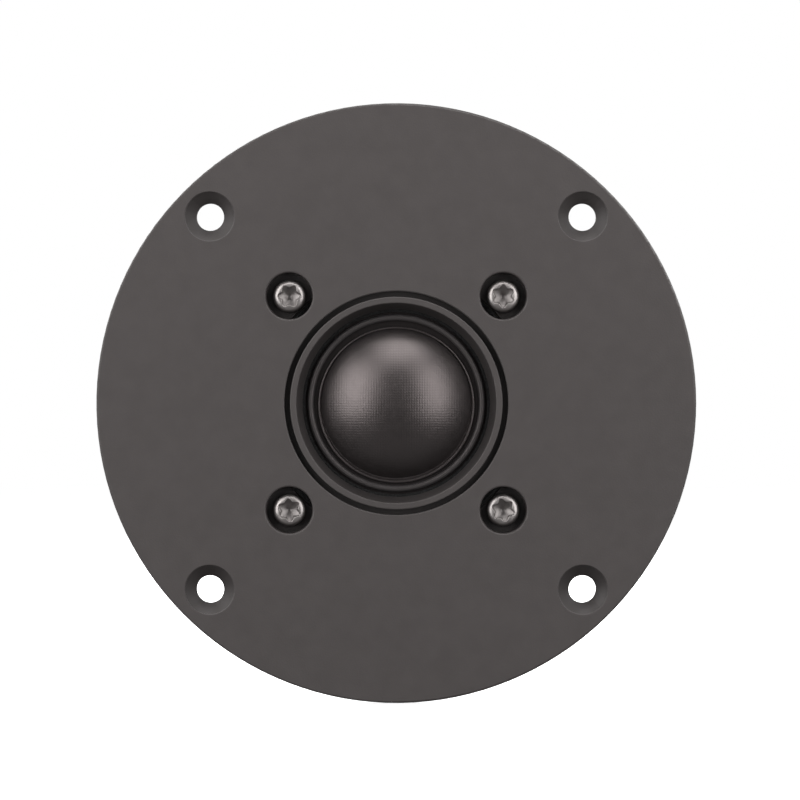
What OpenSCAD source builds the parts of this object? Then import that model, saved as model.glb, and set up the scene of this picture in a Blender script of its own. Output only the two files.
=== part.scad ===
// Flange-mounted soft dome loudspeaker tweeter, in millimetres.
//
// The speaker's axis is Y: the dome faces -Y and the magnet stands behind the flange at +Y, with +Z up.
// The origin is the centre of the flange's rear face, which lies on the baffle or door panel.
// Every piece is drawn in a turned frame: local Z is the depth behind that face (negative is in front of
// it), local X is world X, and local Y points down, towards the terminals.

/* [Face plate] */
// Diameter of the round flange
plate_d = 104; // [103:1:112]
// Thickness of the flange
plate_t = 4; // [3.8:0.1:4.6]
// Rounding of the flange's front edge
plate_round = 0.4; // [0.3:0.1:1]
// Rounding of the lips of the mouth, the groove and the mounting holes
lip_round = 0.2; // [0.1:0.05:0.2]
// Diameter of the step behind the flange that centres it in the cut-out
step_d = 73; // [72.6:0.1:73.2]
// Height of that step
step_h = 1.5; // [1.4:0.1:2]

/* [Mounting holes] */
// Diameter of the circle that the four mounting holes lie on
mount_pcd = 91.5; // [90.5:0.1:92]
// Diameter of a mounting hole
mount_hole_d = 4.8; // [4.2:0.1:5.2]
// Diameter of its countersink at the face
sink_d = 8.5; // [8:0.1:9]
// Straight wall at the top of the countersink
sink_wall = 0.4; // [0.2:0.1:0.6]
// Inner diameter of the sealing foam on the flange's rear face
seal_id = 97.4; // [97:0.1:98]
// Outer diameter of the sealing foam
seal_od = 102.2; // [101:0.1:102.2]
// Thickness of the sealing foam when it is clamped
seal_t = 0.8; // [0.5:0.1:1.2]

/* [Mouth] */
// Diameter of the mouth at the face
mouth_d = 34.8; // [34.4:0.1:35.2]
// Diameter of the mouth at its narrow, inner end
throat_d = 32.6; // [32.4:0.1:33]
// Inner diameter of the decorative groove round the mouth
groove_id = 36.9; // [36.5:0.1:37.2]
// Outer diameter of that groove
groove_od = 38.8; // [38.4:0.1:39.2]
// Depth of that groove
groove_depth = 1.6; // [0.8:0.1:1.8]

/* [Assembly screws] */
// Diameter of the circle that the four assembly screws lie on
screw_pcd = 52.5; // [52:0.1:53]
// Diameter of the pocket that sinks a screw's head
pocket_d = 8.2; // [8:0.1:8.6]
// Diameter of the pocket at its floor
pocket_floor_d = 7.9; // [7.6:0.1:8]
// Rounding of the pocket's lip
pocket_round = 0.3; // [0.1:0.05:0.4]
// Depth of that pocket
pocket_depth = 2.8; // [2.6:0.1:3.4]
// Diameter of the screw's head
head_d = 5.7; // [5.6:0.1:6.6]
// Height of the screw's head
head_h = 2.2; // [2:0.1:2.4]
// Diameter of the thread
thread_d = 4; // [3.5:0.5:4]
// Length of the screw under its head
screw_len = 6; // [5:0.5:7]

/* [Dome and surround] */
// Diameter of the dome where it meets its rim
dome_d = 25.8; // [25.6:0.1:26]
// Outer radius of the dome's sphere
dome_r = 15.5; // [14.5:0.1:18]
// Thickness of the coated cloth
film_t = 0.25; // [0.2:0.05:0.3]
// Diameter of the surround's crest
crest_d = 29.4; // [29.3:0.05:29.5]
// Outer radius of the surround's half roll
roll_r = 1; // [0.9:0.05:1]

/* [Voice coil] */
// Inner diameter of the coil former
former_id = 25.2; // [25.1:0.05:25.3]
// Wall of the coil former
former_wall = 0.15; // [0.1:0.05:0.15]
// Radial thickness of the two wound layers together
winding_t = 0.4; // [0.3:0.05:0.4]
// Height of the winding
winding_h = 1.9; // [1.5:0.1:2.2]
// Diameter of a coil lead
lead_d = 0.2; // [0.15:0.05:0.2]

/* [Motor] */
// Diameter of the front washer
washer_d = 70.4; // [69:0.2:71]
// Thickness of the front washer
washer_t = 5; // [5:0.5:6]
// Height of the magnetic gap
gap_h = 2.5; // [2.5:0.1:3]
// Diameter of the hole in the front washer at the gap
gap_d = 26.9; // [26.9:0.1:27.2]
// Diameter of the ferrite ring
magnet_d = 72; // [70:1:72]
// Diameter of the hole in the ferrite ring
magnet_id = 32; // [30:1:34]
// Thickness of the ferrite ring
magnet_t = 15; // [12:1:18]
// Diameter of the back plate
back_d = 70; // [68:1:71]
// Thickness of the back plate
back_t = 5; // [4:0.5:6]
// Diameter of the pole, with its copper cap
pole_d = 24.6; // [24.4:0.1:24.6]
// Diameter of the vent through the pole
vent_d = 8; // [6:0.5:9]
// Thickness of the copper cap
cap_t = 0.3; // [0.2:0.05:0.4]

/* [Rear chamber] */
// Outer diameter of the chamber's cup
cup_d = 55; // [50:1:55]
// Diameter of the cup's flange
cup_flange_d = 67; // [66:1:68]
// Height of the cup
cup_h = 14; // [12:1:20]
// Wall of the cup
cup_wall = 2; // [1.5:0.1:2.5]
// Diameter of the circle that the chamber's screws lie on
cup_screw_pcd = 61; // [61:0.2:61.6]

/* [Terminals] */
// Width of the positive tab
positive_w = 4.8; // [4.6:0.1:4.8]
// Width of the negative tab
negative_w = 2.8; // [2.6:0.1:2.8]
// Thickness of both tabs
tab_t = 0.8; // [0.7:0.05:0.8]
// Distance of each tab from the middle
tab_x = 5; // [4.8:0.1:5.2]
// How far the tabs stand out of their block
tab_reach = 7.5; // [6:0.5:9]

/* [Hidden] */
$fn = 96;

// Cutting tools reach this far past the faces that they open
over = 1;
// Fit clearance of loose pieces
loose = 0.2;

// Depths behind the mounting face, from the front to the back
face = -plate_t;
pocket_floor = face + pocket_depth;
gasket_t = 0.3;
gasket_margin = 0.15;
lip = -1.3;
film_front = lip + gasket_t;
film_back = film_front + film_t;
washer_front = step_h;
washer_back = washer_front + washer_t;
magnet_back = washer_back + magnet_t;
plate_back = magnet_back + back_t;
chamber_gasket_t = 0.4;
cup_front = plate_back + chamber_gasket_t;
cup_back = cup_front + cup_h;

// Diaphragm ring: the moulded frame that the surround is glued to
ring_r = 23.2;
ring_hole_r = 15.9;
recess_r = ring_r + loose;
film_r = ring_r - 0.4;
peg_r = 1;
peg_circle_r = 20.5;
peg_len = 2;
// Notches through the whole ring, for the leads' joints, end here
notch_end = 21;

// Dome: its rim lies on the surround's neck
rim_front = film_front - film_t;
rim_r = 13.6;
dome_centre = rim_front + sqrt(pow(dome_r, 2) - pow(dome_d / 2, 2));

// Voice coil, centred on the gap
former_r = former_id / 2 + former_wall;
winding_r = former_r + winding_t;
gap_middle = washer_front + gap_h / 2;
winding_front = gap_middle - winding_h / 2;
winding_back = gap_middle + winding_h / 2;
former_back = winding_back + 0.2;

// Pole: a cap of copper over a turned-down end, and a shank riveted through the back plate
pole_r = pole_d / 2;
cap_len = 6.5;
shank_r = 10;
cap_front = washer_front - cap_t;

// Felt ring on the pole's end, and the foam plug in its vent
felt_t = 1.8;
felt_margin = 1.3;
felt_hole_margin = 0.5;
plug_front = washer_front + 1.5;
plug_t = 6;

// Leads: each leaves the winding, bends outwards under the surround and ends on its tab
lead_r = lead_d / 2;
lead_start_r = former_r + 0.05 + lead_r;
lead_bend_r = 0.8;
lead_run = -lead_r;
joint_circle_r = 19.6;
lead_angle = asin(tab_x / joint_circle_r);
joint_r = 0.9;
joint_h = 0.5;

// Terminal tabs: a strip in front of the washer, then a blade behind the flange
strip_start = 18;
blade_y = 39.2;
bend_r = 0.5;
insulator_t = 0.5;
insulator_w = 17.6;
insulator_start = 21.6;
insulator_end = 35.6;
insulator_front = tab_t + 0.1;
tab_hole_d = 1.3;
tab_corner = 1.2;

// Terminal block and its two screws
block_w = 20;
block_near = 36.9;
block_far = 42.4;
block_h = 8.5;
block_corner = 1.4;
ear_x = 12.8;
ear_y = 39.6;
ear_r = 2.9;
ear_h = 2.5;
block_screw_r = 1.15;
block_screw_depth = 2.6;
block_head_r = 2.2;
block_head_h = 1.5;
block_head_round = 0.8;
blade_tip = block_h + tab_reach;

// Chamber screws
cup_screw_r = 1.5;
cup_head_r = 2.6;
cup_head_h = 2;
cup_head_round = 0.9;
cup_flange_t = 2.5;
cup_screw_len = 7;
cup_round = 3;

// Chamber wadding, against the cup's rear wall
wadding_t = 8;
wadding_margin = 0.5;

// Assembly screws
head_round = 0.9;

// Six-lobed screw sockets: distance across the lobes and depth of the straight wall, then the distance
// across the waists and the radius of a waist's curve as shares of the distance across the lobes
big_socket_d = 3.9;
big_socket_wall = 1;
small_socket_d = 2.3;
block_socket_wall = 0.6;
cup_socket_wall = 0.9;
waist_share = 0.76;
lobe_share = 0.225;
// Slope of a socket's conical floor
socket_slope = 0.65;
// Each assembly screw stopped at its own angle
screw_turns = [18, 24, 0, 30];

// ---- Helpers ----

// Turns a piece from the drawing frame to the part's frame
module stand_up() {
    rotate([-90, 0, 0]) children();
}

// Copies a piece round the axis; the first copy is at the angle first
module around(count, radius, first = 0) {
    for (i = [0 : count - 1]) {
        rotate([0, 0, first + i * 360 / count]) translate([radius, 0, 0]) children();
    }
}

// A round bar between two depths
module bar(radius, from, to) {
    translate([0, 0, from]) cylinder(r = radius, h = to - from);
}

// A round bar whose radius changes from one depth to the other
module taper(r_from, r_to, from, to) {
    translate([0, 0, from]) cylinder(r1 = r_from, r2 = r_to, h = to - from);
}

// A tube between two depths
module tube(outer_r, inner_r, from, to) {
    difference() {
        bar(outer_r, from, to);
        bar(inner_r, from - over, to + over);
    }
}

// A block given by its lowest and highest corner
module block(low, high) {
    translate(low) cube(high - low);
}

// The outline left over outside a quarter round at the corner [0, 0] of the +X, +Y quarter
module corner_waste(radius) {
    difference() {
        translate([-over, -over]) square(radius + over);
        translate([radius, radius]) circle(radius);
    }
}

// Rounds the lip that a hole or a ring leaves in the face. It cuts outside the radius, or inside it
// where inner is true.
module lip_cut(radius, rounding, inner = false) {
    rotate_extrude() translate([radius, face]) mirror([inner ? 1 : 0, 0]) corner_waste(rounding);
}

// A six-lobed socket's outline
module lobes(across) {
    waist_r = across / 2 * waist_share;
    lobe_r = across * lobe_share;
    difference() {
        circle(d = across);
        for (i = [0 : 5]) {
            rotate(30 + 60 * i) translate([waist_r + lobe_r, 0]) circle(lobe_r);
        }
    }
}

// A button-headed screw, its head on depth 0 and its thread going to +Z. Its six-lobed socket has a
// straight wall and a conical floor.
module button_screw(head_r, height, rounding, socket_d, wall_depth, thread_r, length) {
    tool_r = socket_d / 2 + over;
    floor_edge = wall_depth - height - over * socket_slope;
    point = floor_edge + tool_r * socket_slope;
    difference() {
        union() {
            rotate_extrude() difference() {
                translate([0, -height]) square([head_r, height]);
                translate([head_r, -height]) mirror([1, 0]) corner_waste(rounding);
            }
            bar(thread_r, -0.1, length);
        }
        intersection() {
            translate([0, 0, -height - over]) linear_extrude(height + over) lobes(socket_d);
            rotate_extrude() polygon([
                [0, -height - 2 * over], [tool_r, -height - 2 * over], [tool_r, floor_edge], [0, point]
            ]);
        }
    }
}

// ---- Front ----

module face_plate() {
    color([0.34, 0.32, 0.31]) stand_up() difference() {
        union() {
            rotate_extrude() difference() {
                translate([0, face]) square([plate_d / 2, plate_t]);
                translate([plate_d / 2, face]) mirror([1, 0]) corner_waste(plate_round);
            }
            bar(step_d / 2, -0.1, step_h);
        }
        mouth_cuts();
        around(4, mount_pcd / 2, 45) mounting_hole();
        around(4, screw_pcd / 2, 45) screw_hole();
        bar(recess_r, lip, step_h + over);
        tube(seal_od / 2, seal_id / 2, -seal_t, over);
        tab_channels();
        for (side = [-1, 1]) {
            translate([side * ear_x, ear_y, 0]) bar(block_screw_r, -block_screw_depth, over);
        }
    }
}

// The conical mouth and the groove round it
module mouth_cuts() {
    slope = (mouth_d - throat_d) / 2 / (lip - face);
    taper(mouth_d / 2 + slope * over, throat_d / 2 - slope * over, face - over, lip + over);
    tube(groove_od / 2, groove_id / 2, face - over, face + groove_depth);
    lip_cut(mouth_d / 2 - slope * lip_round, lip_round);
    lip_cut(groove_id / 2, lip_round, inner = true);
    lip_cut(groove_od / 2, lip_round);
}

module mounting_hole() {
    sink_r = sink_d / 2;
    hole_r = mount_hole_d / 2;
    cone_front = face + sink_wall;
    bar(hole_r, face - over, over);
    bar(sink_r, face - over, cone_front);
    taper(sink_r, hole_r, cone_front, cone_front + sink_r - hole_r);
    lip_cut(sink_r, lip_round);
}

module screw_hole() {
    slope = (pocket_d - pocket_floor_d) / 2 / pocket_depth;
    taper(pocket_d / 2 + slope * over, pocket_floor_d / 2, face - over, pocket_floor);
    bar(thread_d / 2 + loose, face, step_h + over);
    lip_cut(pocket_d / 2 - slope * pocket_round, pocket_round);
}

// Ways through the step for the terminal tabs and their insulator
module tab_channels() {
    far = step_d / 2 + over;
    for (tab = [[-tab_x, positive_w], [tab_x, negative_w]]) {
        half = tab[1] / 2 + loose;
        block([tab[0] - half, ring_r - 2, 0], [tab[0] + half, far, step_h + over]);
    }
    half = insulator_w / 2 + loose;
    block([-half, ring_r - 2, insulator_front], [half, far, step_h + over]);
}

module mounting_seal() {
    color([0.1, 0.1, 0.1]) stand_up() tube(seal_od / 2, seal_id / 2, -seal_t, 0);
}

module assembly_screws() {
    color([0.62, 0.6, 0.58]) stand_up() for (i = [0 : 3]) {
        rotate([0, 0, 45 + 90 * i]) translate([screw_pcd / 2, 0, pocket_floor])
            rotate([0, 0, screw_turns[i] - 45 - 90 * i])
                button_screw(head_d / 2, head_h, head_round, big_socket_d, big_socket_wall,
                             thread_d / 2, screw_len);
    }
}

// ---- Diaphragm ----

module diaphragm_gasket() {
    color([0.15, 0.15, 0.15]) stand_up()
        tube(film_r, crest_d / 2 + roll_r + gasket_margin, lip, film_front);
}

module diaphragm_ring() {
    color([0.12, 0.12, 0.12]) stand_up() difference() {
        union() {
            tube(ring_r, ring_hole_r, film_back, washer_front);
            around(2, peg_circle_r) bar(peg_r, film_back + 0.5, washer_front + peg_len);
        }
        for (tab = [[-tab_x, positive_w], [tab_x, negative_w]]) {
            half = tab[1] / 2 + loose;
            block([tab[0] - half, 0, 0], [tab[0] + half, ring_r + over, washer_front + over]);
            block([tab[0] - half, 0, film_back - over], [tab[0] + half, notch_end, washer_front + over]);
        }
        half = insulator_w / 2 + loose;
        block([-half, insulator_start - loose, insulator_front], [half, ring_r + over, step_h + over]);
    }
}

// Clamped flange, half roll and neck, in one piece of coated cloth
module surround() {
    color([0.13, 0.12, 0.12]) stand_up() rotate_extrude() {
        translate([crest_d / 2 + roll_r - film_t, film_front])
            square([film_r - crest_d / 2 - roll_r + film_t, film_t]);
        translate([former_id / 2, film_front])
            square([crest_d / 2 - roll_r + film_t - former_id / 2, film_t]);
        intersection() {
            translate([crest_d / 2, film_back]) difference() {
                circle(roll_r);
                circle(roll_r - film_t);
            }
            translate([crest_d / 2 - roll_r, film_back - roll_r]) square([2 * roll_r, roll_r]);
        }
    }
}

// A cap of a sphere with a flat rim, glued on the surround's neck
module dome() {
    inner_r = dome_r - film_t;
    base_r = sqrt(pow(inner_r, 2) - pow(dome_centre - film_front, 2));
    color([0.14, 0.13, 0.13]) stand_up() rotate_extrude() {
        intersection() {
            translate([0, dome_centre]) difference() {
                circle(dome_r);
                circle(inner_r);
            }
            translate([0, dome_centre - dome_r]) square([dome_r, film_front - dome_centre + dome_r]);
        }
        translate([base_r, rim_front]) square([rim_r - base_r, film_t]);
    }
}

module coil_former() {
    color([0.75, 0.76, 0.77]) stand_up() tube(former_r, former_id / 2, film_back, former_back);
}

module coil_winding() {
    color([0.72, 0.45, 0.2]) stand_up() tube(winding_r, former_r, winding_front, winding_back);
}

// One lead: up the former, round a quarter bend and out to its tab; side is -1 or 1
module coil_lead(side) {
    bend_middle = lead_run + lead_bend_r;
    rotate([0, 0, 90 - side * lead_angle]) {
        translate([lead_start_r, 0, 0]) bar(lead_r, bend_middle, winding_front);
        translate([lead_start_r + lead_bend_r, 0, bend_middle]) rotate([90, 0, 0])
            rotate_extrude(angle = 90, start = 180) translate([lead_bend_r, 0]) circle(lead_r);
        translate([lead_start_r + lead_bend_r, 0, lead_run]) rotate([0, 90, 0])
            cylinder(r = lead_r, h = joint_circle_r - lead_start_r - lead_bend_r);
    }
}

module coil_lead_positive() {
    color([0.85, 0.6, 0.35]) stand_up() coil_lead(-1);
}

module coil_lead_negative() {
    color([0.85, 0.6, 0.35]) stand_up() coil_lead(1);
}

// A dot of solder on each tab, round the end of its lead
module solder_joints() {
    color([0.8, 0.8, 0.82]) stand_up() for (side = [-1, 1]) {
        difference() {
            rotate([0, 0, 90 - side * lead_angle]) translate([joint_circle_r, 0, 0])
                taper(joint_r / 2, joint_r, -joint_h, 0);
            coil_lead(side);
        }
    }
}

// ---- Terminals ----

// A strip with a quarter bend and a blade; the blade's tip has cut corners and a hole
module terminal_tab(width) {
    bend_y = blade_y - tab_t / 2 - bend_r;
    bend_depth = tab_t + bend_r;
    difference() {
        translate([width / 2, 0, 0]) rotate([0, -90, 0]) linear_extrude(width) {
            translate([0, strip_start]) square([tab_t, bend_y - strip_start]);
            translate([bend_depth, bend_y]) intersection() {
                difference() {
                    circle(bend_depth);
                    circle(bend_r);
                }
                translate([-bend_depth, 0]) square(bend_depth);
            }
            translate([bend_depth, blade_y - tab_t / 2]) square([blade_tip - bend_depth, tab_t]);
        }
        translate([0, blade_y, (block_h + blade_tip) / 2 + 0.5]) rotate([90, 0, 0])
            cylinder(d = tab_hole_d, h = 4 * tab_t, center = true);
        for (side = [-1, 1]) {
            translate([side * width / 2, blade_y, blade_tip]) rotate([0, 45, 0])
                cube([tab_corner, 4 * tab_t, tab_corner], center = true);
        }
    }
}

module terminal_tab_positive() {
    color([0.8, 0.68, 0.4]) stand_up() translate([-tab_x, 0, 0]) terminal_tab(positive_w);
}

module terminal_tab_negative() {
    color([0.8, 0.68, 0.4]) stand_up() translate([tab_x, 0, 0]) terminal_tab(negative_w);
}

// A strip of fibre paper between the tabs and the front washer
module tab_insulator() {
    color([0.75, 0.68, 0.5]) stand_up()
        block([-insulator_w / 2, insulator_start, insulator_front],
              [insulator_w / 2, insulator_end, insulator_front + insulator_t]);
}

// A moulded block with two screw ears that holds the tabs behind the flange
module terminal_block() {
    color([0.12, 0.12, 0.12]) stand_up() difference() {
        union() {
            block([-block_w / 2, block_near, 0], [block_w / 2, block_far, block_h]);
            block([-ear_x, ear_y - ear_r, 0], [ear_x, ear_y + ear_r, ear_h]);
            for (side = [-1, 1]) {
                translate([side * ear_x, ear_y, 0]) bar(ear_r, 0, ear_h);
            }
        }
        for (side = [-1, 1]) {
            translate([side * ear_x, ear_y, 0]) bar(block_screw_r + 0.1, -over, ear_h + over);
            translate([side * block_w / 2, block_near, block_h]) rotate([0, 45, 0])
                cube([block_corner, 4 * (block_far - block_near), block_corner], center = true);
        }
        for (tab = [[-tab_x, positive_w], [tab_x, negative_w]]) {
            half = tab[1] / 2 + 0.1;
            foot = blade_y + tab_t / 2 + 0.1;
            block([tab[0] - half, block_near - over, -over], [tab[0] + half, foot, tab_t + bend_r]);
            block([tab[0] - half, blade_y - tab_t / 2 - 0.1, 0], [tab[0] + half, foot, block_h + over]);
        }
    }
}

module terminal_screws() {
    color([0.6, 0.6, 0.6]) stand_up() for (side = [-1, 1]) {
        translate([side * ear_x, ear_y, ear_h]) rotate([180, 0, 0])
            button_screw(block_head_r, block_head_h, block_head_round, small_socket_d, block_socket_wall,
                         block_screw_r, ear_h + block_screw_depth - loose);
    }
}

// ---- Motor ----

module front_washer() {
    color([0.5, 0.5, 0.5]) stand_up() difference() {
        tube(washer_d / 2, gap_d / 2, washer_front, washer_back);
        taper(gap_d / 2, magnet_id / 2, washer_front + gap_h, washer_back);
        around(4, screw_pcd / 2, 45) bar(thread_d / 2, washer_front - over, washer_back + over);
        around(2, peg_circle_r) bar(peg_r + 0.1, washer_front - over, washer_front + peg_len + loose);
    }
}

module magnet_ring() {
    edge = 0.8;
    outer_r = magnet_d / 2;
    color([0.2, 0.2, 0.21]) stand_up() difference() {
        union() {
            taper(outer_r - edge, outer_r, washer_back, washer_back + edge);
            bar(outer_r, washer_back + edge, magnet_back - edge);
            taper(outer_r, outer_r - edge, magnet_back - edge, magnet_back);
        }
        bar(magnet_id / 2, washer_back - over, magnet_back + over);
    }
}

module back_plate() {
    edge = 0.6;
    color([0.5, 0.5, 0.5]) stand_up() difference() {
        union() {
            bar(back_d / 2, magnet_back, plate_back - edge);
            taper(back_d / 2, back_d / 2 - edge, plate_back - edge, plate_back);
        }
        bar(shank_r, magnet_back - over, plate_back + over);
        around(3, cup_screw_pcd / 2, 30) bar(cup_screw_r, magnet_back - over, plate_back + over);
    }
}

module pole_piece() {
    color([0.5, 0.5, 0.5]) stand_up() difference() {
        union() {
            bar(pole_r - cap_t, washer_front, washer_front + cap_len);
            bar(pole_r, washer_front + cap_len, magnet_back);
            bar(shank_r, magnet_back - 0.1, plate_back);
        }
        bar(vent_d / 2, washer_front - over, plate_back + over);
    }
}

module pole_cap() {
    color([0.8, 0.45, 0.25]) stand_up() difference() {
        bar(pole_r, cap_front, washer_front + cap_len);
        bar(pole_r - cap_t, washer_front, washer_front + cap_len + over);
        bar(vent_d / 2, cap_front - over, washer_front + over);
    }
}

module pole_felt() {
    color([0.3, 0.3, 0.3]) stand_up()
        tube(pole_r - felt_margin, vent_d / 2 + felt_hole_margin, cap_front - felt_t, cap_front);
}

module vent_foam() {
    color([0.2, 0.2, 0.2]) stand_up() bar(vent_d / 2, plug_front, plug_front + plug_t);
}

// ---- Rear chamber ----

module chamber_gasket() {
    color([0.12, 0.12, 0.12]) stand_up() difference() {
        tube(cup_flange_d / 2, cup_d / 2 - cup_wall, plate_back, cup_front);
        around(3, cup_screw_pcd / 2, 30) bar(cup_screw_r + 0.1, plate_back - over, cup_front + over);
    }
}

// A moulded cup with a screw flange and a shallow step in its rear face
module rear_chamber() {
    cup_r = cup_d / 2;
    color([0.1, 0.1, 0.1]) stand_up() difference() {
        union() {
            rotate_extrude() difference() {
                translate([0, cup_front]) square([cup_r, cup_h]);
                translate([cup_r, cup_back]) rotate(180) corner_waste(cup_round);
            }
            bar(cup_flange_d / 2, cup_front, cup_front + cup_flange_t);
        }
        bar(cup_r - cup_wall, cup_front - over, cup_back - cup_wall);
        bar(cup_r - cup_round - cup_wall, cup_back - 0.5, cup_back + over);
        around(3, cup_screw_pcd / 2, 30)
            bar(cup_screw_r + 0.1, cup_front - over, cup_front + cup_flange_t + over);
    }
}

module chamber_wadding() {
    color([0.85, 0.85, 0.82]) stand_up()
        bar(cup_d / 2 - cup_wall - wadding_margin, cup_back - cup_wall - wadding_t, cup_back - cup_wall);
}

module chamber_screws() {
    color([0.2, 0.2, 0.2]) stand_up()
        around(3, cup_screw_pcd / 2, 30) translate([0, 0, cup_front + cup_flange_t]) rotate([180, 0, 0])
            button_screw(cup_head_r, cup_head_h, cup_head_round, small_socket_d, cup_socket_wall,
                         cup_screw_r, cup_screw_len);
}

face_plate();
mounting_seal();
assembly_screws();
diaphragm_gasket();
diaphragm_ring();
surround();
dome();
coil_former();
coil_winding();
coil_lead_positive();
coil_lead_negative();
solder_joints();
terminal_tab_positive();
terminal_tab_negative();
tab_insulator();
terminal_block();
terminal_screws();
front_washer();
magnet_ring();
back_plate();
pole_piece();
pole_cap();
pole_felt();
vent_foam();
chamber_gasket();
rear_chamber();
chamber_wadding();
chamber_screws();
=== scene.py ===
"""Looks of a flange-mounted soft dome tweeter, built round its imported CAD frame.

The speaker's axis is Y: the dome faces -Y and the magnet stands at +Y, with +Z up. Lathed pieces
are drawn as outlines of (radius, y) in millimetres, and every piece is placed by the CAD node it
stands for.
"""

import math

import bmesh
import bpy
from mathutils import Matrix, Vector, noise


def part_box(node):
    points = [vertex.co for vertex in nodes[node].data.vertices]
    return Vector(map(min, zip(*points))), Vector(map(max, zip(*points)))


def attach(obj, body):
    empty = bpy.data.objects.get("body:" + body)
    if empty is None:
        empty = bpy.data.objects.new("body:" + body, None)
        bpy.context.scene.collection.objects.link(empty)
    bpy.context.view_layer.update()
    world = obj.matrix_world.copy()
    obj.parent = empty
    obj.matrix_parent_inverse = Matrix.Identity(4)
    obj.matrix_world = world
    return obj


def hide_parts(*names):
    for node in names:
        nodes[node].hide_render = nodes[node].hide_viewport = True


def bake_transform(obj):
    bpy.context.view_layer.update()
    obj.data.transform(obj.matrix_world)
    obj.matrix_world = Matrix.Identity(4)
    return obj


MM = 0.001

SEGMENTS = 240  # round a lathed piece

# The camera looks straight along the axis from this far in front of the face plate's face, and sees
# this width there, in metres. It stands a little right of the axis and above it.
VIEW_DISTANCE = 0.6
VIEW_WIDTH = 0.1386
VIEW_ASIDE = Vector((0.00064, 0, 0.00054))
SENSOR = 36.0  # width, in millimetres

# The floor's size and its gap under the face plate, in metres.
FLOOR_SIZE = 3.0
FLOOR_GAP = 0.0002

# Painted shade: recesses of the face plate, the surround below its crest and the assembly screws'
# sockets and head flanks are darker than the same material's face, by these factors.
MOUTH_PAINTED_SHADE = 0.52
POCKET_PAINTED_SHADE = 0.75
SURROUND_PAINTED_SHADE = 0.1
SCREW_PAINTED_SHADES = 0.45, 0.55

# Lengths in millimetres on the dome and the surround.
BEAD_INSET = 0.2  # the bead's middle, in from the rim's edge
RIM_DROP = 0.32  # the rim is trimmed this far off centre, downwards
CREST_ASIDE = 0.2  # the narrow crest stands a little outside the middle of the roll
NECK_HEIGHT = 0.45  # from the crest down to where the painted shade on the flanks and neck begins

# Painted shade sets in on the assembly screws between these depths under the top of the head, in
# millimetres: down in the sockets and on the flanks of the heads.
SCREW_SHADE_FROM, SCREW_SHADE_TO = 0.55, 0.95

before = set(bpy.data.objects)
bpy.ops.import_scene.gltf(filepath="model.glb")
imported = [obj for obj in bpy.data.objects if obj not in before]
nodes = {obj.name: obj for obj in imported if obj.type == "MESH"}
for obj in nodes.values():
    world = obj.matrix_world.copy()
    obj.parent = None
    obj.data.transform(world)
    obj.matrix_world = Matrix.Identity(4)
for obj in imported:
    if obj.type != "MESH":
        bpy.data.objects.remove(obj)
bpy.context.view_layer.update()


# ---- What the CAD frame says ----


class Ring:
    """Radii and depths of a CAD ring or disc that lies round the speaker's axis, in millimetres."""

    def __init__(self, node):
        radii = [math.hypot(v.co.x, v.co.z) / MM for v in nodes[node].data.vertices]
        low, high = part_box(node)
        self.inner, self.outer = min(radii), max(radii)
        if self.inner > self.outer * 0.99:  # a solid disc has its vertices round its edge only
            self.inner = 0.0
        self.front, self.back = low.y / MM, high.y / MM


class Copy:
    """One of the separate solids of a node: its middle, its radius and its depths, in millimetres.
    Its rim lies between rim_front and rim_back."""

    def __init__(self, points):
        low = Vector([min(p[i] for p in points) for i in range(3)])
        high = Vector([max(p[i] for p in points) for i in range(3)])
        self.x, self.z = (low.x + high.x) / 2, (low.z + high.z) / 2
        self.radius = (high.x - low.x) / 2
        self.front, self.back = low.y, high.y
        rim = [p.y for p in points if math.hypot(p.x - self.x, p.z - self.z) > self.radius * 0.98]
        self.rim_front, self.rim_back = min(rim), max(rim)


def copies(node, apart=8.0):
    """The separate solids of a node, which stand more than apart millimetres from each other."""
    groups = []
    for v in nodes[node].data.vertices:
        p = v.co / MM
        near = (g for g in groups if math.hypot(g[0].x - p.x, g[0].z - p.z) < apart)
        group = next(near, None)
        if group is None:
            groups.append([p])
        else:
            group.append(p)
    return [Copy(g) for g in groups]


# ---- Mesh helpers ----


def rounded(corners, steps=6):
    """An outline through corners of (radius, y, rounding), with a curve at each rounded corner."""
    points = []
    count = len(corners)
    for i, (r, y, rounding) in enumerate(corners):
        corner = Vector((r, y))
        before = Vector(corners[i - 1][:2]) - corner
        after = Vector(corners[(i + 1) % count][:2]) - corner
        if rounding <= 0:
            points.append(corner)
            continue
        half_turn = before.angle(after) / 2
        cut = min(rounding / math.tan(half_turn), before.length * 0.49, after.length * 0.49)
        start = corner + before.normalized() * cut
        end = corner + after.normalized() * cut
        for k in range(steps + 1):
            t = k / steps
            points.append(start.lerp(corner, t).lerp(corner.lerp(end, t), t))
    return points


def arc(centre, radius, start, end, steps):
    """Points on a circle from one angle to another, in degrees, as (radius, y)."""
    middle = Vector(centre)
    angles = [math.radians(start + (end - start) * k / steps) for k in range(steps + 1)]
    return [middle + radius * Vector((math.cos(a), math.sin(a))) for a in angles]


def make(name, vertices, faces, body="frame", sharp=40):
    """A smooth-shaded piece from vertices in millimetres, riding on a body unless body is None."""
    mesh = bpy.data.meshes.new(name)
    mesh.from_pydata([Vector(v) * MM for v in vertices], [], faces)
    edit = bmesh.new()
    edit.from_mesh(mesh)
    bmesh.ops.recalc_face_normals(edit, faces=edit.faces)
    edit.to_mesh(mesh)
    edit.free()
    mesh.shade_smooth()
    mesh.set_sharp_from_angle(angle=math.radians(sharp))
    piece = bpy.data.objects.new(name, mesh)
    bpy.context.scene.collection.objects.link(piece)
    if body:
        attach(piece, body)
    return piece


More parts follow.
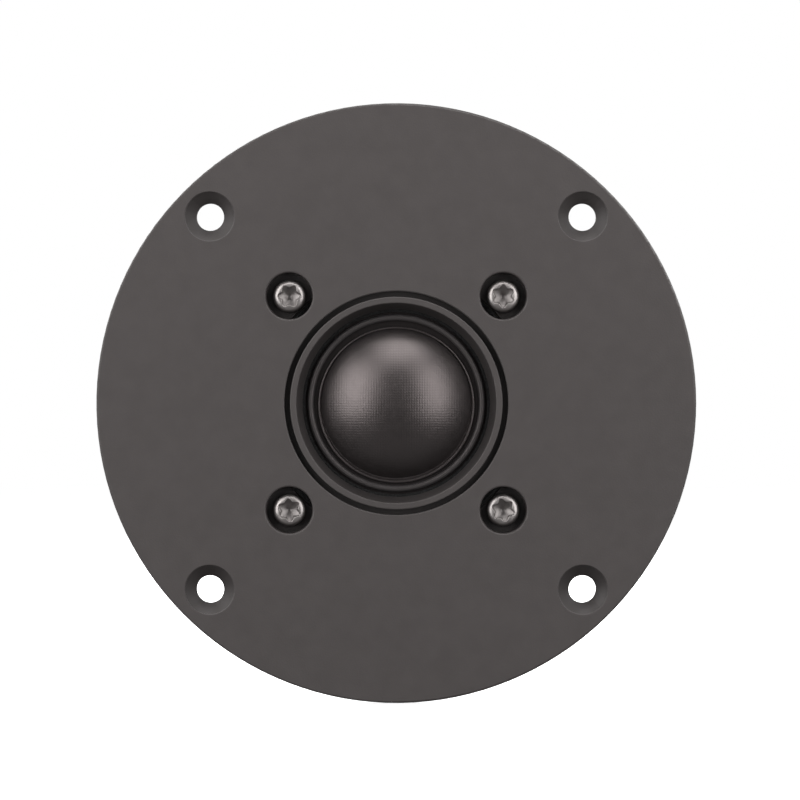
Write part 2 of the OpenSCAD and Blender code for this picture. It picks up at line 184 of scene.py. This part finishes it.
def lathe_data(outline, centre=(0.0, 0.0), segments=SEGMENTS):
    """Vertices and faces of a closed (radius, y) outline, turned about an axis along Y that goes
    through centre."""
    rows, vertices, faces = [], [], []
    for r, y in outline:
        if r < 1e-6:
            rows.append([len(vertices)] * segments)
            vertices.append((centre[0], y, centre[1]))
            continue
        rows.append(list(range(len(vertices), len(vertices) + segments)))
        for k in range(segments):
            a = 2 * math.pi * k / segments
            vertices.append((centre[0] + r * math.cos(a), y, centre[1] + r * math.sin(a)))
    for i, row in enumerate(rows):
        other = rows[(i + 1) % len(rows)]
        for k in range(segments):
            n = (k + 1) % segments
            corners = (row[k], row[n], other[n], other[k])
            face = tuple(dict.fromkeys(corners))
            if len(face) > 2:
                faces.append(face)
    return vertices, faces


def lathe(name, outline, body="frame", segments=SEGMENTS, sharp=40):
    vertices, faces = lathe_data(outline, segments=segments)
    return make(name, vertices, faces, body, sharp)


def join(parts):
    """Vertices and faces of several parts as one."""
    vertices, faces = [], []
    for part_vertices, part_faces in parts:
        first = len(vertices)
        vertices += part_vertices
        faces += [tuple(first + i for i in f) for f in part_faces]
    return vertices, faces


def tube_data(path, radius, sides=12):
    """Vertices and faces of a round wire along a path, with closed ends."""
    vertices, faces = [], []
    up = Vector((0, 1, 0))
    for i, p in enumerate(path):
        along = (path[min(i + 1, len(path) - 1)] - path[max(i - 1, 0)]).normalized()
        side = along.cross(up)
        side = side.normalized() if side.length > 1e-4 else Vector((1, 0, 0))
        up = side.cross(along).normalized()
        for k in range(sides):
            a = 2 * math.pi * k / sides
            vertices.append(p + side * radius * math.cos(a) + up * radius * math.sin(a))
    for i in range(len(path) - 1):
        for k in range(sides):
            n = (k + 1) % sides
            a, b = i * sides, (i + 1) * sides
            faces.append((a + k, a + n, b + n, b + k))
    last = (len(path) - 1) * sides
    faces += [tuple(range(sides)), tuple(range(last, last + sides))]
    return vertices, faces


def fluff(piece, depth, size):
    """Pulls a soft piece's surface in by up to depth millimetres, in lumps about size across."""
    mesh = piece.data
    normals = [v.normal.copy() for v in mesh.vertices]
    for v, normal in zip(mesh.vertices, normals):
        lump = noise.fractal(v.co / (size * MM), 1.0, 2.0, 3)
        v.co -= normal * depth * MM * min(1.0, max(0.0, 0.5 + lump))
    return piece


# ---- Materials ----


class Surface:
    """A procedural material. Feature sizes are in millimetres, in the CAD frame's coordinates."""

    def __init__(self, name, **sockets):
        self.material = bpy.data.materials.new(name)
        self.material.use_nodes = True
        self.tree = self.material.node_tree
        self.shader = self.tree.nodes["Principled BSDF"]
        self.place = self.node("ShaderNodeTexCoord").outputs["Object"]
        self.normal = None
        for socket, value in sockets.items():
            self.shader.inputs[socket.replace("_", " ")].default_value = value

    def node(self, kind, inputs=None, **settings):
        made = self.tree.nodes.new(kind)
        for key, value in settings.items():
            setattr(made, key, value)
        for key, value in (inputs or {}).items():
            if isinstance(value, bpy.types.NodeSocket):
                self.tree.links.new(value, made.inputs[key])
            else:
                made.inputs[key].default_value = value
        return made

    def math(self, operation, a, b=0.0):
        return self.node("ShaderNodeMath", {0: a, 1: b}, operation=operation).outputs[0]

    def noise(self, size, detail=4.0, stretch=(1, 1, 1), distortion=0.0):
        """Cloudy noise with lumps about size across; stretch makes them longer along an axis."""
        scale = [1 / s for s in stretch]
        place = self.node("ShaderNodeVectorMath", {0: self.place, 1: scale}, operation="MULTIPLY")
        texture = self.node("ShaderNodeTexNoise", {
            "Vector": place.outputs[0], "Scale": 1 / (size * MM),
            "Detail": detail, "Distortion": distortion,
        })
        return texture.outputs[0]

    def cells(self, size):
        """Rounded cells about size across, low in their middles."""
        inputs = {"Vector": self.place, "Scale": 1 / (size * MM)}
        return self.node("ShaderNodeTexVoronoi", inputs).outputs["Distance"]

    def axes(self):
        split = self.node("ShaderNodeSeparateXYZ", {0: self.place})
        return split.outputs["X"], split.outputs["Y"], split.outputs["Z"]

    def radius(self):
        """Distance from the speaker's axis, in metres."""
        x, _, z = self.axes()
        squares = self.math("MULTIPLY", x, x), self.math("MULTIPLY", z, z)
        return self.math("SQRT", self.math("ADD", *squares))

    def waves(self, along, pitch):
        """A sine between -1 and 1 that repeats each pitch along a coordinate."""
        return self.math("SINE", self.math("MULTIPLY", along, 2 * math.pi / (pitch * MM)))

    def weave(self, pitch):
        """Crossing threads, as seen along the axis: a cloth that was flat before it was pressed."""
        x, _, z = self.axes()
        wander = self.math("MULTIPLY", self.noise(2.5, 2), 0.3 * MM)
        warp = self.math("ABSOLUTE", self.waves(self.math("ADD", x, wander), 2 * pitch))
        weft = self.math("ABSOLUTE", self.waves(self.math("ADD", z, wander), 2 * pitch))
        return self.math("MULTIPLY", warp, weft)

    def turned(self, pitch=0.25):
        """Fine uneven rings left by a lathe."""
        rings = self.node("ShaderNodeCombineXYZ", {"X": self.radius(), "Y": self.axes()[1]})
        return self.node("ShaderNodeTexNoise", {
            "Vector": rings.outputs[0], "Scale": 1 / (pitch * MM), "Detail": 3.0,
        }).outputs[0]

    def spread(self, value, low, high, from_low=0.0, from_high=1.0):
        """Maps a value between from_low and from_high to one between low and high."""
        return self.node("ShaderNodeMapRange", {
            "Value": value, "From Min": from_low, "From Max": from_high,
            "To Min": low, "To Max": high,
        }).outputs[0]

    def link(self, output, socket):
        self.tree.links.new(output, self.shader.inputs[socket])

    def ramp(self, value, dark, light, low=0.3, high=0.7):
        """A colour between dark and light as value goes from low to high."""
        ramp = self.node("ShaderNodeValToRGB", {0: value})
        ends = (low, dark), (high, light)
        for element, (position, colour) in zip(ramp.color_ramp.elements, ends):
            element.position, element.color = position, (*colour, 1)
        return ramp.outputs[0]

    def mix(self, share, first, second):
        """The first colour where share is 0, and the second where it is 1."""
        mixed = self.node("ShaderNodeMix", data_type="RGBA")
        for socket, output in zip(("Factor_Float", "A_Color", "B_Color"), (share, first, second)):
            self.tree.links.new(output, next(i for i in mixed.inputs if i.identifier == socket))
        return next(o for o in mixed.outputs if o.identifier == "Result_Color")

    def colour(self, value, dark, light, low=0.3, high=0.7):
        self.link(self.ramp(value, dark, light, low, high), "Base Color")
        return self

    def rough(self, value, low, high, from_low=0.3, from_high=0.7):
        self.link(self.spread(value, low, high, from_low, from_high), "Roughness")
        return self

    def bump(self, value, depth, strength=1.0):
        """Raises the surface by depth millimetres where value is 1. Further calls add to it."""
        inputs = {"Height": value, "Distance": depth * MM, "Strength": strength}
        if self.normal is not None:
            inputs["Normal"] = self.normal
        self.normal = self.node("ShaderNodeBump", inputs).outputs[0]
        self.tree.links.new(self.normal, self.shader.inputs["Normal"])
        return self


def finish_with(surface, *objects):
    """Gives objects this one material."""
    for o in objects:
        o.data.materials.clear()
        o.data.materials.append(surface.material)


def shaded(colour, factor):
    return [channel * factor for channel in colour]


def moulded_plastic(name, dark, light, low=0.45, high=0.6, grain=0.35, depth=0.012):
    s = Surface(name, Specular_IOR_Level=0.35)
    s.colour(s.noise(3.0, 6), dark, light).rough(s.noise(1.2, 4), low, high)
    return s.bump(s.cells(grain), depth).bump(s.noise(0.12, 3), depth * 0.6)


def grained_plate(name):
    """Warm dark grey plastic with a finely grained face. Below the face it is smoother, and its
    colour
    carries painted shade: darkest in the mouth and the groove, less in the pockets, countersinks and
    further out."""
    s = Surface(name, Specular_IOR_Level=0.3)
    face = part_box("face_plate")[0].y
    below = s.spread(s.axes()[1], 0.0, 1.0, face + 0.1 * MM, face + 0.35 * MM)
    groove_end = 0.87 * Ring("diaphragm_gasket").outer * MM  # the groove lies over the gasket
    outside = s.spread(s.radius(), 0.0, 1.0, groove_end - 0.2 * MM, groove_end + 0.2 * MM)
    cloud = s.noise(3.0, 6)
    dark, light = (0.0465, 0.041, 0.040), (0.0515, 0.0455, 0.0445)
    # painted shade: below the face the colour is darkened, most in the mouth and the groove
    grained, mouth, pockets = (s.ramp(cloud, shaded(dark, shade), shaded(light, shade))
                               for shade in (1.0, MOUTH_PAINTED_SHADE, POCKET_PAINTED_SHADE))
    s.link(s.mix(below, grained, s.mix(outside, mouth, pockets)), "Base Color")
    smoother = s.math("MULTIPLY", below, 0.12)
    s.link(s.math("SUBTRACT", s.spread(s.noise(1.2, 4), 0.52, 0.62), smoother), "Roughness")
    return s.bump(s.cells(0.35), 0.008).bump(s.noise(0.12, 3), 0.006)


def coated_cloth(name, dark, light, low, high, specular, matt_and_shaded_from=None):
    """Coated fabric with a slightly warm gloss. From the depth matt_and_shaded_from, in millimetres
    along Y, it turns matt, and its colour is painted near black as shade."""
    s = Surface(name, Specular_IOR_Level=specular, Specular_Tint=(1.0, 0.87, 0.86, 1.0))
    roughness = s.spread(s.noise(1.0, 4), low, high, 0.3, 0.7)
    if matt_and_shaded_from is None:
        s.colour(s.noise(2.0, 5), dark, light)
    else:
        # painted shade: below the crest the roll's flanks, the neck and the flange are darkened
        # almost to black
        painted_shade_mask = s.spread(s.axes()[1], 0.0, 1.0, (matt_and_shaded_from - 0.12) * MM, (matt_and_shaded_from + 0.12) * MM)
        s.colour(painted_shade_mask, light, shaded(dark, SURROUND_PAINTED_SHADE), 0.0, 1.0)
        roughness = s.math("ADD", roughness, s.math("MULTIPLY", painted_shade_mask, 0.55))
    s.link(roughness, "Roughness")
    return s.bump(s.weave(0.45), 0.014).bump(s.noise(0.3, 4), 0.01)


def turned_steel(name, dark, light, low=0.3, high=0.48, pitch=0.25):
    s = Surface(name, Metallic=1.0)
    s.colour(s.noise(4.0, 5), dark, light).rough(s.turned(pitch), low, high)
    return s.bump(s.turned(pitch), 0.01).bump(s.noise(0.8, 4), 0.004)


def foam(name, dark, light, cell=0.3):
    s = Surface(name, Specular_IOR_Level=0.2)
    s.colour(s.cells(cell), light, dark, 0.2, 0.7).rough(s.noise(1.0), 0.8, 0.95)
    return s.bump(s.cells(cell), 0.08)


def plated(name, dark, light, low, high, scratch=(1, 1, 8), shaded_depths=None):
    """Plated metal. shaded_depths is (from, to): the depths along Y, in millimetres, between which
    the colour is darkened as painted shade, down in a socket and on the flanks of a head."""
    s = Surface(name, Metallic=1.0)
    cloud = s.noise(1.0, 5)
    tone = s.ramp(cloud, dark, light)
    if shaded_depths:
        # painted shade: deeper down, the colour is darkened
        painted_shade_mask = s.spread(s.axes()[1], 0.0, 1.0, shaded_depths[0] * MM, shaded_depths[1] * MM)
        shaded_tone = s.ramp(cloud, *map(shaded, (dark, light), SCREW_PAINTED_SHADES))
        tone = s.mix(painted_shade_mask, tone, shaded_tone)
    s.link(tone, "Base Color")
    return s.rough(s.noise(0.3, 4, scratch), low, high).bump(s.noise(0.4, 3, scratch), 0.0008)


def felted(name, dark, light):
    s = Surface(name, Specular_IOR_Level=0.1, Sheen_Weight=0.5, Sheen_Roughness=0.6)
    s.colour(s.noise(0.25, 6), dark, light).rough(s.noise(0.4), 0.85, 1.0)
    return s.bump(s.noise(0.15, 6, (3, 1, 1), 1.5), 0.12)


plate_plastic = grained_plate("plate_plastic")
ring_plastic = moulded_plastic("ring_plastic", (0.018, 0.018, 0.018), (0.028, 0.028, 0.028))
cup_plastic = moulded_plastic("cup_plastic", (0.016, 0.016, 0.016), (0.024, 0.024, 0.024),
                              0.4, 0.55, 0.5)
block_plastic = moulded_plastic("block_plastic", (0.015, 0.015, 0.015), (0.022, 0.022, 0.022),
                                0.3, 0.42, 0.6)
dome_cloth = coated_cloth("dome_cloth", (0.005, 0.0045, 0.0045), (0.008, 0.0072, 0.0072),
                          0.38, 0.44, 0.95)
# the surround's colour carries painted shade below its crest
surround_cloth = coated_cloth("surround_cloth", (0.028, 0.026, 0.026), (0.036, 0.0335, 0.0335),
                              0.38, 0.44, 0.4, matt_and_shaded_from=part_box("surround")[0].y / MM + NECK_HEIGHT)
screw_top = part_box("assembly_screws")[0].y / MM
# the screws' colour carries painted shade in the sockets and on the head flanks
screw_nickel = plated("screw_nickel", (0.26, 0.24, 0.235), (0.34, 0.318, 0.309), 0.4, 0.48,
                      shaded_depths=(screw_top + SCREW_SHADE_FROM, screw_top + SCREW_SHADE_TO))
block_screw_steel = plated("block_screw_steel", (0.45, 0.45, 0.46), (0.6, 0.6, 0.61), 0.25, 0.4)
tab_brass = plated("tab_brass", (0.62, 0.56, 0.45), (0.74, 0.69, 0.58), 0.25, 0.38)
solder = plated("solder", (0.55, 0.55, 0.56), (0.7, 0.7, 0.71), 0.15, 0.3, (1, 1, 1))
lead_wire = plated("lead_wire", (0.75, 0.42, 0.28), (0.9, 0.55, 0.38), 0.25, 0.4)
cap_copper = plated("cap_copper", (0.72, 0.38, 0.25), (0.86, 0.48, 0.33), 0.25, 0.4)
former_aluminium = plated("former_aluminium", (0.66, 0.67, 0.69), (0.78, 0.79, 0.8), 0.3, 0.42)
washer_steel = turned_steel("washer_steel", (0.32, 0.31, 0.28), (0.42, 0.40, 0.36))
pole_steel = turned_steel("pole_steel", (0.33, 0.33, 0.33), (0.42, 0.42, 0.42))
seal_foam = foam("seal_foam", (0.008, 0.008, 0.008), (0.03, 0.03, 0.03), 0.4)
gasket_foam = foam("gasket_foam", (0.004, 0.004, 0.004), (0.014, 0.014, 0.014), 0.25)
vent_foam = foam("vent_foam", (0.02, 0.02, 0.02), (0.07, 0.07, 0.07), 0.5)
felt = felted("felt", (0.06, 0.06, 0.06), (0.16, 0.16, 0.155))
wadding = felted("wadding", (0.6, 0.59, 0.55), (0.85, 0.84, 0.8))

cup_screw_steel = Surface("cup_screw_steel", Metallic=0.7, Specular_IOR_Level=0.5)
cup_screw_steel.colour(cup_screw_steel.noise(0.8, 5), (0.02, 0.02, 0.02), (0.05, 0.048, 0.046))
cup_screw_steel.rough(cup_screw_steel.noise(0.4), 0.3, 0.45)
cup_screw_steel.bump(cup_screw_steel.noise(0.25, 4), 0.001)

ferrite = Surface("ferrite", Specular_IOR_Level=0.5)
ferrite.colour(ferrite.noise(1.5, 8), (0.03, 0.03, 0.0315), (0.045, 0.045, 0.047))
ferrite.rough(ferrite.noise(3.0, 5, (1, 4, 1)), 0.42, 0.6)
ferrite.bump(ferrite.noise(0.3, 6), 0.03).bump(ferrite.cells(2.2), 0.015)

fibre_paper = Surface("fibre_paper", Specular_IOR_Level=0.3)
fibre_paper.colour(fibre_paper.noise(0.6, 8, (6, 1, 1)), (0.36, 0.27, 0.16), (0.5, 0.4, 0.26))
fibre_paper.rough(fibre_paper.noise(0.5), 0.6, 0.8).bump(fibre_paper.noise(0.2, 6, (6, 1, 1)), 0.02)

coil_wire = Surface("coil_wire", Metallic=1.0)
coil_wire.colour(coil_wire.noise(0.8, 4), (0.6, 0.28, 0.12), (0.78, 0.4, 0.2))
coil_wire.rough(coil_wire.noise(0.5), 0.2, 0.32)
coil_wire.bump(coil_wire.waves(coil_wire.axes()[1], 0.16), 0.03)


# ---- Dome and surround ----


def dome_outline(cad, bead_at, thickness=0.25, fillet=0.1, rim_thickness=0.1, bead=0.2, steps=70):
    """A cap whose outer skin is part of a sphere, with a bead round the edge of its thin rim. CAD
    gives the apex and the rim's back. The bead's middle lies at the radius bead_at."""
    flat, lift = 0.15, 0.02  # of the rim inside the bead, and of the bead from the rim's back
    rim_front = cad.back - rim_thickness
    base = bead_at - bead - flat
    height = rim_front - cad.front
    sphere = (base**2 + height**2) / (2 * height)
    middle = cad.front + sphere
    slope = math.asin(base / sphere)
    end = math.degrees(slope - fillet * math.tan(slope / 2) / sphere)
    skin = arc((0, middle), sphere, -90, end - 90, steps)
    rim = rounded([(*skin[-1], 0), (base, rim_front, fillet), (bead_at - bead, rim_front, 0)], 10)
    rim = rim[1:-1] + arc((bead_at, cad.back - bead - lift), bead, 190, 350, 16)
    inner = sphere - thickness
    inner_end = math.degrees(math.acos((middle - cad.back) / inner))
    inside = arc((0, middle), inner, inner_end - 90, -90, steps)
    return skin + rim + [Vector((bead_at + bead, cad.back))] + inside


def drop_edge(piece, start, end, drop):
    """Moves a lathed piece's edge down by drop: all of it outside end, none of it inside start."""
    for v in piece.data.vertices:
        r = math.hypot(v.co.x, v.co.z) / MM
        v.co.z -= drop * MM * min(1.0, max(0.0, (r - start) / (end - start)))


def surround_outline(cad, crest_radius, film=0.25, skin=0.15, roll=0.5, foot=0.45):
    """The neck, the narrow roll and the clamped flange as one moulded skin. CAD gives its edges and
    the crest's height."""
    middle = (crest_radius, cad.front + roll)
    front_face = cad.back - film
    rise = middle[1] - front_face + foot
    across = math.sqrt((roll + foot)**2 - rise**2)
    turn = math.degrees(math.atan2(rise, across))
    front = [Vector((cad.inner, front_face))]
    front += arc((crest_radius - across, front_face - foot), foot, 90, turn, 8)
    front += arc(middle, roll, 180 + turn, 360 - turn, 40)[1:-1]
    front += arc((crest_radius + across, front_face - foot), foot, 180 - turn, 90, 8)
    front += [Vector((cad.outer, front_face)), Vector((cad.outer, cad.back))]
    inside = roll - skin
    hollow = [Vector((crest_radius + inside, cad.back))] + arc(middle, inside, 360, 180, 30)
    hollow += [Vector((crest_radius - inside, cad.back)), Vector((cad.inner, cad.back))]
    return front + hollow


def bend_round(piece, inner, outer):
    """Bakes the transform of a ring between the bodies into its mesh. For each vertex it works out a
    share between the radii inner and outer, in millimetres, but does not use it: the ring is not
    bent."""
    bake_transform(piece)
    for v in piece.data.vertices:
        t = (math.hypot(v.co.x, v.co.z) / MM - inner) / (outer - inner)
        t = min(1.0, max(0.0, t))


dome_cad = Ring("dome")
bead_radius = dome_cad.outer - BEAD_INSET
dome = lathe("dome_cap", dome_outline(dome_cad, bead_radius), "diaphragm", sharp=60)
drop_edge(dome, bead_radius - 0.35, bead_radius - 0.1, RIM_DROP)
finish_with(dome_cloth, dome)
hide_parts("dome")

surround_cad = Ring("surround")
crest_points = [v.co / MM for v in nodes["surround"].data.vertices
                if v.co.y / MM < surround_cad.front + 0.001]
crest = sum(math.hypot(p.x, p.z) for p in crest_points) / len(crest_points)
roll_reach = surround_cad.back - surround_cad.front
roll_outline = surround_outline(surround_cad, crest + CREST_ASIDE)
surround = lathe("surround_roll", roll_outline, None, sharp=60)
finish_with(surround_cloth, surround)
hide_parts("surround")
bend_round(surround, crest - roll_reach, crest + roll_reach)


# ---- Screws ----


def socket_radius(angle, across, turn):
    """The radius of a six-lobed socket at an angle, with one lobe at the angle turn."""
    high, low = across / 2, across / 2 * 0.76
    wave = (1 + math.cos(6 * (angle - turn))) / 2
    return low + (high - low) * wave**0.9


def screw_data(place, thread, across, turn, faces_back=False, rounding=0.9, wall=0.65, around=144):
    """A button head with a six-lobed socket, and a threaded shank. place is the CAD screw it stands
    for. The socket has a straight wall and ends in a shallow cone."""
    edge = 0.14  # rounding round the socket's mouth
    cone = 0.6  # rise of the socket's bottom over its run
    chamfer, neck, pitch, thread_depth, tip = 0.12, 0.3, 0.7, 0.3, 0.6
    head = place.back - place.rim_front if faces_back else place.rim_back - place.front
    point = wall + across / 2 * cone
    angles = [2 * math.pi * k / around for k in range(around)]
    sockets = [socket_radius(a, across, turn) for a in angles]

    def drop(r):
        """How far the head's top has fallen away at a radius."""
        over = max(0.0, r - (place.radius - rounding))
        return rounding - math.sqrt(max(0.0, rounding**2 - over**2))

    rows = [[(s * share, point - s * share * cone) for s in sockets]
            for share in (0.25, 0.5, 0.75, 0.97)]
    rows.append([(s, point - s * cone - 0.06) for s in sockets])
    for k in range(5):
        turned = math.pi / 2 * k / 4
        rows.append([(s + edge * (1 - math.cos(turned)),
                      drop(s + edge) + edge * (1 - math.sin(turned))) for s in sockets])
    for k in range(1, 15):
        share = math.sin(math.pi / 2 * k / 14)
        radii = [s + edge + (place.radius - s - edge) * share for s in sockets]
        rows.append([(r, drop(r)) for r in radii])
    length = place.back - place.front
    root = thread - thread_depth
    shank = [(place.radius, head - chamfer), (place.radius - chamfer, head), (thread, head)]
    down = head + neck
    while down < length - tip - 0.2:
        shank += [(thread, down), (root, down + pitch * 0.45), (root, down + pitch * 0.55)]
        down += pitch
    shank += [(thread, length - tip), (thread - 0.5, length)]
    rows += [[(r, d)] * around for r, d in shank]

    top, way = (place.back, -1) if faces_back else (place.front, 1)
    vertices, faces = [(place.x, top + way * point, place.z)], []
    for row in rows:
        for a, (r, d) in zip(angles, row):
            vertices.append((place.x + r * math.cos(a), top + way * d, place.z + r * math.sin(a)))
    vertices.append((place.x, top + way * length, place.z))
    for k in range(around):
        n = (k + 1) % around
        faces.append((0, 1 + k, 1 + n))
        for i in range(len(rows) - 1):
            a, b = 1 + i * around, 1 + (i + 1) * around
            faces.append((a + k, b + k, b + n, a + n))
        last = 1 + (len(rows) - 1) * around
        faces.append((last + k, len(vertices) - 1, last + n))
    return vertices, faces


def screws(name, node, slot, surface, turns, **sizes):
    """All the screws of a CAD node as one piece. turns gives each socket's angle, in degrees."""
    parts = [screw_data(place, turn=math.radians(turns(place)), **sizes) for place in copies(node)]
    piece = make(name, *join(parts), sharp=50)
    finish_with(surface, piece)
    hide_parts(node)


def assembly_turn(place):
    """Each assembly screw stopped at its own angle, in degrees. At zero, a waist of the socket
    points straight down."""
    if place.z > 0:
        return 0 if place.x < 0 else 30
    return -24 if place.x < 0 else -18


screws("assembly_screw_set", "assembly_screws", "screw_nickel", screw_nickel, assembly_turn,
       thread=2.0, across=3.9, rounding=1.2)
screws("terminal_screw_set", "terminal_screws", "block_screw_steel", block_screw_steel,
       lambda place: 20 if place.x < 0 else 47, thread=1.15, across=2.3, faces_back=True,
       rounding=0.8, wall=0.5)
screws("chamber_screw_set", "chamber_screws", "cup_screw_steel", cup_screw_steel,
       lambda place: 11 + place.x, thread=1.5, across=2.3, faces_back=True, wall=0.8)


# ---- Soft rings, discs and pads ----


def soft_ring(name, node, surface, edge, depth, size):
    """Stands for a soft CAD ring or disc, inside the CAD solid. Its edges are rounded by edge, and
    its skin is uneven by depth in lumps about size across, all in millimetres."""
    cad = Ring(node)
    inner_edge = edge if cad.inner else 0
    outline = rounded([
        (cad.inner, cad.back, inner_edge), (cad.inner, cad.front, inner_edge),
        (cad.outer, cad.front, edge), (cad.outer, cad.back, edge),
    ])
    step = 0.6
    dense = []
    for i, p in enumerate(outline):
        q = outline[(i + 1) % len(outline)]
        parts = 1 if p.x < 1e-6 and q.x < 1e-6 else max(1, round((q - p).length / step))
        dense += [p.lerp(q, k / parts) for k in range(parts)]
    piece = fluff(lathe(name, dense, sharp=80), depth, size)
    finish_with(surface, piece)
    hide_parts(node)


soft_ring("seal_ring", "mounting_seal", seal_foam, 0.25, 0.06, 2.0)
soft_ring("front_gasket", "diaphragm_gasket", gasket_foam, 0.08, 0.01, 1.0)
soft_ring("cup_gasket", "chamber_gasket", gasket_foam, 0.12, 0.02, 1.5)
soft_ring("felt_ring", "pole_felt", felt, 0.35, 0.15, 0.8)
soft_ring("vent_plug", "vent_foam", vent_foam, 0.6, 0.15, 1.2)
soft_ring("wadding_pad", "chamber_wadding", wadding, 2.0, 1.0, 6.0)


# ---- Leads and solder ----

coil = Ring("coil_winding")
former = Ring("coil_former")
joints = {"negative" if c.x > 0 else "positive": c for c in copies("solder_joints", apart=4.0)}


def lead_path(joint, radius, steps=40):
    """From the winding's end up the former, round under the surround and out to the joint, with a
    little slack on the way."""
    gap, bend, slack, slack_share = 0.05, 0.8, 0.28, 0.7
    out = Vector((joint.x, 0, joint.z)).normalized()
    lie = joint.back - radius
    start_r = former.outer + gap + radius
    end_r = math.hypot(joint.x, joint.z)
    route = [(start_r, coil.front), (start_r, (coil.front + lie + bend) / 2)]
    for k in range(9):
        a = math.pi / 2 * k / 8
        route.append((start_r + bend * (1 - math.cos(a)), lie + bend * (1 - math.sin(a))))
    for k in range(1, steps + 1):
        t = k / steps
        sag = slack * math.sin(math.pi * min(1.0, t / slack_share)) ** 2
        route.append((start_r + bend + (end_r - start_r - bend) * t, lie + sag))
    return [out * r + Vector((0, y, 0)) for r, y in route], out


def lead(name, node, joint, radius=0.1):
    path, out = lead_path(joint, radius)
    piece = make(name, *tube_data(path, radius), body=None, sharp=60)
    finish_with(lead_wire, piece)
    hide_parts(node)
    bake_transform(piece)


lead("lead_positive", "coil_lead_positive", joints["positive"])
lead("lead_negative", "coil_lead_negative", joints["negative"])

dots = []
for joint in joints.values():
    tall = joint.back - joint.front
    dot = rounded([
        (0, joint.front, 0), (joint.radius * 0.55, joint.front, tall * 0.5),
        (joint.radius * 0.8, joint.back, 0.1), (0, joint.back, 0),
    ])
    dots.append(lathe_data(dot, (joint.x, joint.z), 48))
solder_dots = make("solder_dots", *join(dots), sharp=60)
finish_with(solder, solder_dots)
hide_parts("solder_joints")


# ---- CAD nodes that keep their shape ----

finish_with(plate_plastic, nodes["face_plate"])
finish_with(ring_plastic, nodes["diaphragm_ring"])
finish_with(cup_plastic, nodes["rear_chamber"])
finish_with(block_plastic, nodes["terminal_block"])
finish_with(washer_steel, nodes["front_washer"], nodes["back_plate"])
finish_with(pole_steel, nodes["pole_piece"])
finish_with(cap_copper, nodes["pole_cap"])
finish_with(ferrite, nodes["magnet_ring"])
finish_with(former_aluminium, nodes["coil_former"])
finish_with(coil_wire, nodes["coil_winding"])
finish_with(tab_brass, nodes["terminal_tab_positive"], nodes["terminal_tab_negative"])
finish_with(fibre_paper, nodes["tab_insulator"])


# ---- Floor, light and camera ----


def area_light(name, aside, above, distance, width, height, power):
    """A softbox aimed at the dome. aside and above are its direction from the face, in degrees. Its
    distance and size are in metres, and its power in watts."""
    a, e = math.radians(aside), math.radians(above)
    toward = Vector((math.sin(a) * math.cos(e), -math.cos(a) * math.cos(e), math.sin(e)))
    data = bpy.data.lights.new(name, "AREA")
    data.shape, data.size, data.size_y, data.energy = "RECTANGLE", width, height, power
    lamp = bpy.data.objects.new(name, data)
    lamp.location = toward * distance
    lamp.rotation_euler = toward.to_track_quat("Z", "Y").to_euler()
    bpy.context.scene.collection.objects.link(lamp)


def studio_world(fill):
    """A plain studio: the camera sees a white cyclorama, and the object gets a dim, even fill."""
    world = bpy.data.worlds.new("studio")
    world.use_nodes = True
    tree = world.node_tree
    path = tree.nodes.new("ShaderNodeLightPath")
    ramp = tree.nodes.new("ShaderNodeMapRange")
    ramp.inputs["To Min"].default_value = fill
    ramp.inputs["To Max"].default_value = 1.0
    tree.links.new(path.outputs["Is Camera Ray"], ramp.inputs["Value"])
    tree.links.new(ramp.outputs[0], tree.nodes["Background"].inputs["Strength"])
    tree.nodes["Background"].inputs["Color"].default_value = (1, 1, 1, 1)
    bpy.context.scene.world = world


plate_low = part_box("face_plate")[0]
half = FLOOR_SIZE / 2
floor_z = plate_low.z - FLOOR_GAP
floor_corners = (-half, -half), (half, -half), (half, half), (-half, half)
floor_mesh = bpy.data.meshes.new("floor")
floor_mesh.from_pydata([(x, y, floor_z) for x, y in floor_corners], [], [(0, 1, 2, 3)])
floor = bpy.data.objects.new("floor", floor_mesh)
bpy.context.scene.collection.objects.link(floor)
pale = Surface("floor_pale", Specular_IOR_Level=0.1)
pale.colour(pale.noise(60, 3), (0.86, 0.86, 0.86), (0.9, 0.9, 0.9))
pale.rough(pale.noise(20), 0.75, 0.85)
pale.shader.inputs["Emission Color"].default_value = (1, 1, 1, 1)
pale.shader.inputs["Emission Strength"].default_value = 0.85
finish_with(pale, floor)
# So near the object, the floor would outshine the softboxes. The light that bounces off the table
# comes up through it instead.
floor.visible_diffuse = floor.visible_glossy = floor.visible_shadow = False

studio_world(fill=0.16)
area_light("softbox_above", 15, 74, 0.3, 0.26, 0.18, 0.76)
area_light("softbox_left", -57, 16, 0.4, 0.32, 0.44, 2.15)
area_light("softbox_right", 52, 15, 0.4, 0.25, 0.44, 1.6)
area_light("softbox_behind_left", -140, 32, 0.55, 0.5, 0.5, 4.8)
area_light("softbox_behind_right", 132, 28, 0.55, 0.5, 0.5, 3.4)
area_light("table_bounce", 0, -58, 0.35, 0.8, 0.24, 0.11)

camera_data = bpy.data.cameras.new("camera")
camera_data.sensor_width = SENSOR
camera_data.lens = SENSOR * VIEW_DISTANCE / VIEW_WIDTH
camera_data.clip_start, camera_data.clip_end = 0.01, 20
camera = bpy.data.objects.new("camera", camera_data)
camera.location = Vector((0, plate_low.y - VIEW_DISTANCE, 0)) + VIEW_ASIDE
camera.rotation_euler = (math.pi / 2, 0, 0)
bpy.context.scene.collection.objects.link(camera)
bpy.context.scene.camera = camera
bpy.context.scene.view_settings.view_transform = "Standard"
